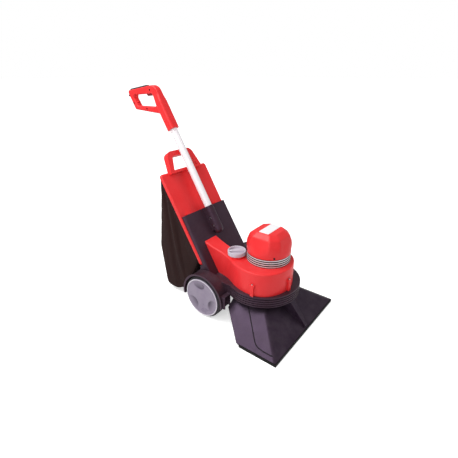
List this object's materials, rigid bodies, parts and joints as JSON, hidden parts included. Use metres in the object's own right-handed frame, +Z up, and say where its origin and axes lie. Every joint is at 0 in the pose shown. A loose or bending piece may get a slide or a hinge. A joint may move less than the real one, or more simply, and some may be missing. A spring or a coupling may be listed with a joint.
{
  "type": "walk-behind suction carpet machine",
  "caption": "Walk-behind suction carpet cleaner: wide floor hood, fan scroll with domed motor, wheels, sloped handle with trigger grip, lift-off frame with dust bag.",
  "frame": {"origin": "on the floor under the middle of the machine's overall box", "axes": "+Y from the mouth back to the grip, +Z up, +X across to the machine's left"},
  "size_m": [0.547, 1.0956, 1.0036],
  "materials": {
    "black_plastic": "satin black moulding",
    "lip_steel": "worn steel glide strip",
    "wheel_plastic": "grey moulding",
    "tyre_rubber": "matt black tread",
    "steel": "plated steel",
    "red_plastic": "deep red, slightly glossy",
    "grey_plastic": "grey moulding",
    "fan_plastic": "black moulding",
    "cast_ring": "cast, lightly polished",
    "motor_steel": "pressed and laminated steel",
    "white_tube": "light enamel",
    "bag_fabric": "dark brown-black woven cloth",
    "black_rubber": "matt rubber",
    "switch_plastic": "black moulding"
  },
  "bodies": {
    "chassis": {"axle": "steel", "axle_clips": "steel", "bearing_lower": "steel", "bearing_upper": "steel", "chassis_shell": "black_plastic", "cord_gland": "black_rubber", "dome_screws": "steel", "duct_tower": "black_plastic", "fan_floor": "black_plastic", "grip_left": "red_plastic", "grip_pad": "black_rubber", "grip_right": "red_plastic", "grip_screws": "steel", "handle_tube": "white_tube", "hood_lip": "lip_steel", "motor_base_ring": "cast_ring", "motor_can": "motor_steel", "motor_dome": "red_plastic", "scroll_housing": "red_plastic", "scroll_screws": "steel", "stator_core": "motor_steel", "suction_hood": "black_plastic", "switch_body": "switch_plastic", "trigger_pin": "steel", "tube_screws": "steel"},
    "wheel_right": {"wheel_core_right": "wheel_plastic", "tyre_right": "tyre_rubber", "hub_cap_right": "wheel_plastic"},
    "wheel_left": {"wheel_core_left": "wheel_plastic", "tyre_left": "tyre_rubber", "hub_cap_left": "wheel_plastic"},
    "rotor": {"motor_shaft": "steel", "armature": "motor_steel", "impeller": "fan_plastic", "impeller_nut": "steel"},
    "cap": {"cleanout_cap": "grey_plastic"},
    "trigger": {"trigger": "switch_plastic"},
    "bag_unit": {"bag_frame": "red_plastic", "dust_bag": "bag_fabric"}
  },
  "joints": [
    {"name": "wheel_right_spin", "type": "hinge", "parent": "chassis", "child": "wheel_right", "pos_m": [-0.186, -0.10577, 0.1025], "axis": [1, 0, 0], "continuous": true},
    {"name": "wheel_left_spin", "type": "hinge", "parent": "chassis", "child": "wheel_left", "pos_m": [0.186, -0.10577, 0.1025], "axis": [1, 0, 0], "continuous": true},
    {"name": "fan_spin", "type": "hinge", "parent": "chassis", "child": "rotor", "pos_m": [0, -0.32777, 0.284], "axis": [0, 0, 1], "continuous": true},
    {"name": "cap_turn", "type": "hinge", "parent": "chassis", "child": "cap", "pos_m": [-0.07, -0.20277, 0.309], "axis": [0, 0, 1], "range_deg": [0, 90]},
    {"name": "trigger_squeeze", "type": "hinge", "parent": "chassis", "child": "trigger", "pos_m": [0, 0.36023, 0.976], "axis": [1, 0, 0], "range_deg": [0, 6], "stiffness_Nm_per_rad": 0.6, "springref_deg": -5.73},
    {"name": "bag_lift_off", "type": "slide", "parent": "chassis", "child": "bag_unit", "axis": [0, 0.5225, 0.8526], "range_m": [0, 0.15]}
  ]
}
